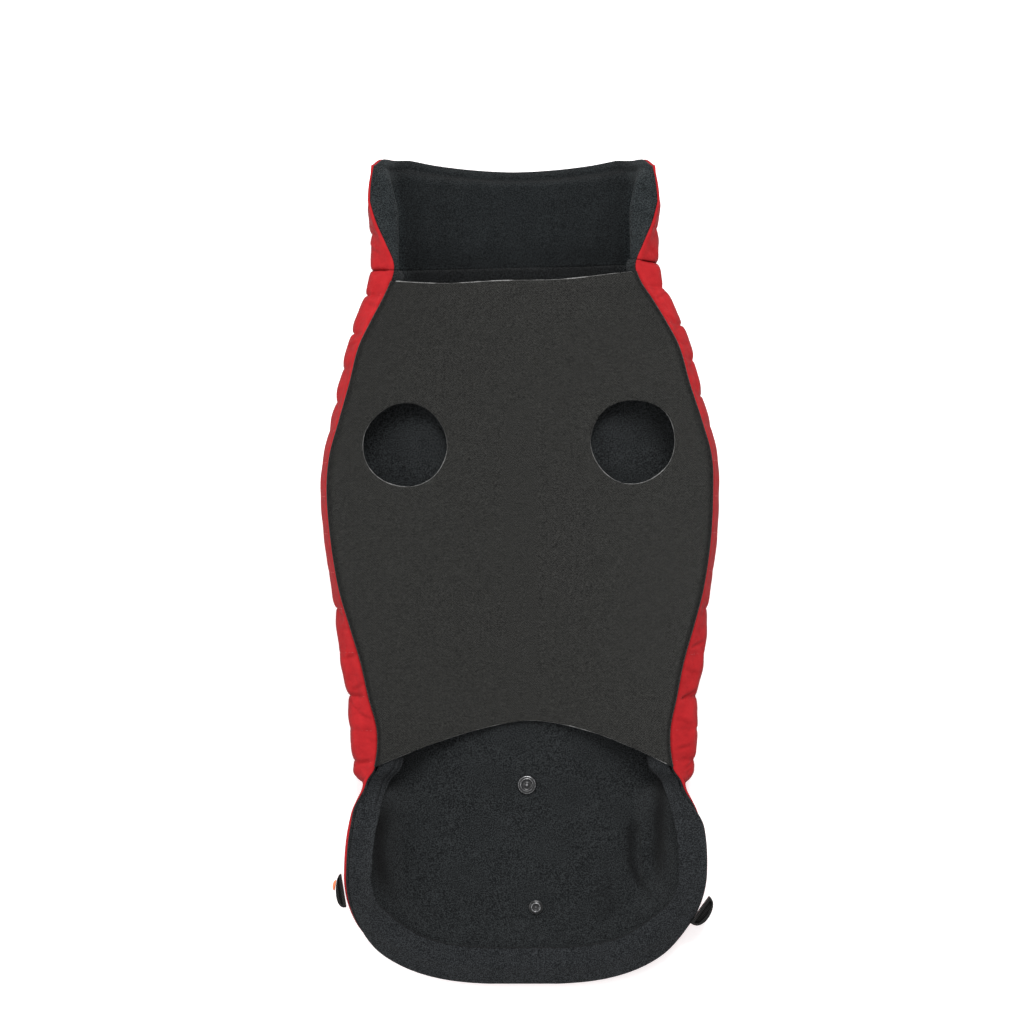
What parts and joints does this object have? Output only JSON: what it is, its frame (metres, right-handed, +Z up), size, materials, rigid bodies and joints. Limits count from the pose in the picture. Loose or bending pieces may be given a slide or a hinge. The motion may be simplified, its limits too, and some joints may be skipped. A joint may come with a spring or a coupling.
{
  "type": "dog winter coat",
  "caption": "Quilted red dog coat with a dark fleece lining, a stretch belly panel with leg holes, a stand collar and a low tail hem, lying on its back",
  "frame": {"origin": "Middle of the floor area that the coat covers, on the floor", "axes": "+Y along the coat towards the neck, +X to the right of the picture, +Z up from the floor"},
  "size_m": [0.2566, 0.5306, 0.0443],
  "materials": {
    "shell_nylon": "smooth woven nylon, quilted",
    "fleece": "short brushed pile",
    "stretch_mesh": "fine ribbed stretch knit",
    "black_metal": "black coated",
    "tape": "ribbed tape",
    "orange_rubber": "moulded"
  },
  "bodies": {
    "root": {"back_shell": "shell_nylon", "back_lining": "fleece", "collar_shell": "shell_nylon", "collar_lining": "fleece", "belly_panel": "stretch_mesh", "hem_facing": "fleece", "snap_socket": "black_metal", "snap_stud": "black_metal", "hem_tab_left": "tape", "hem_tab_right": "tape", "tab_spot": "orange_rubber"}
  },
  "joints": []
}
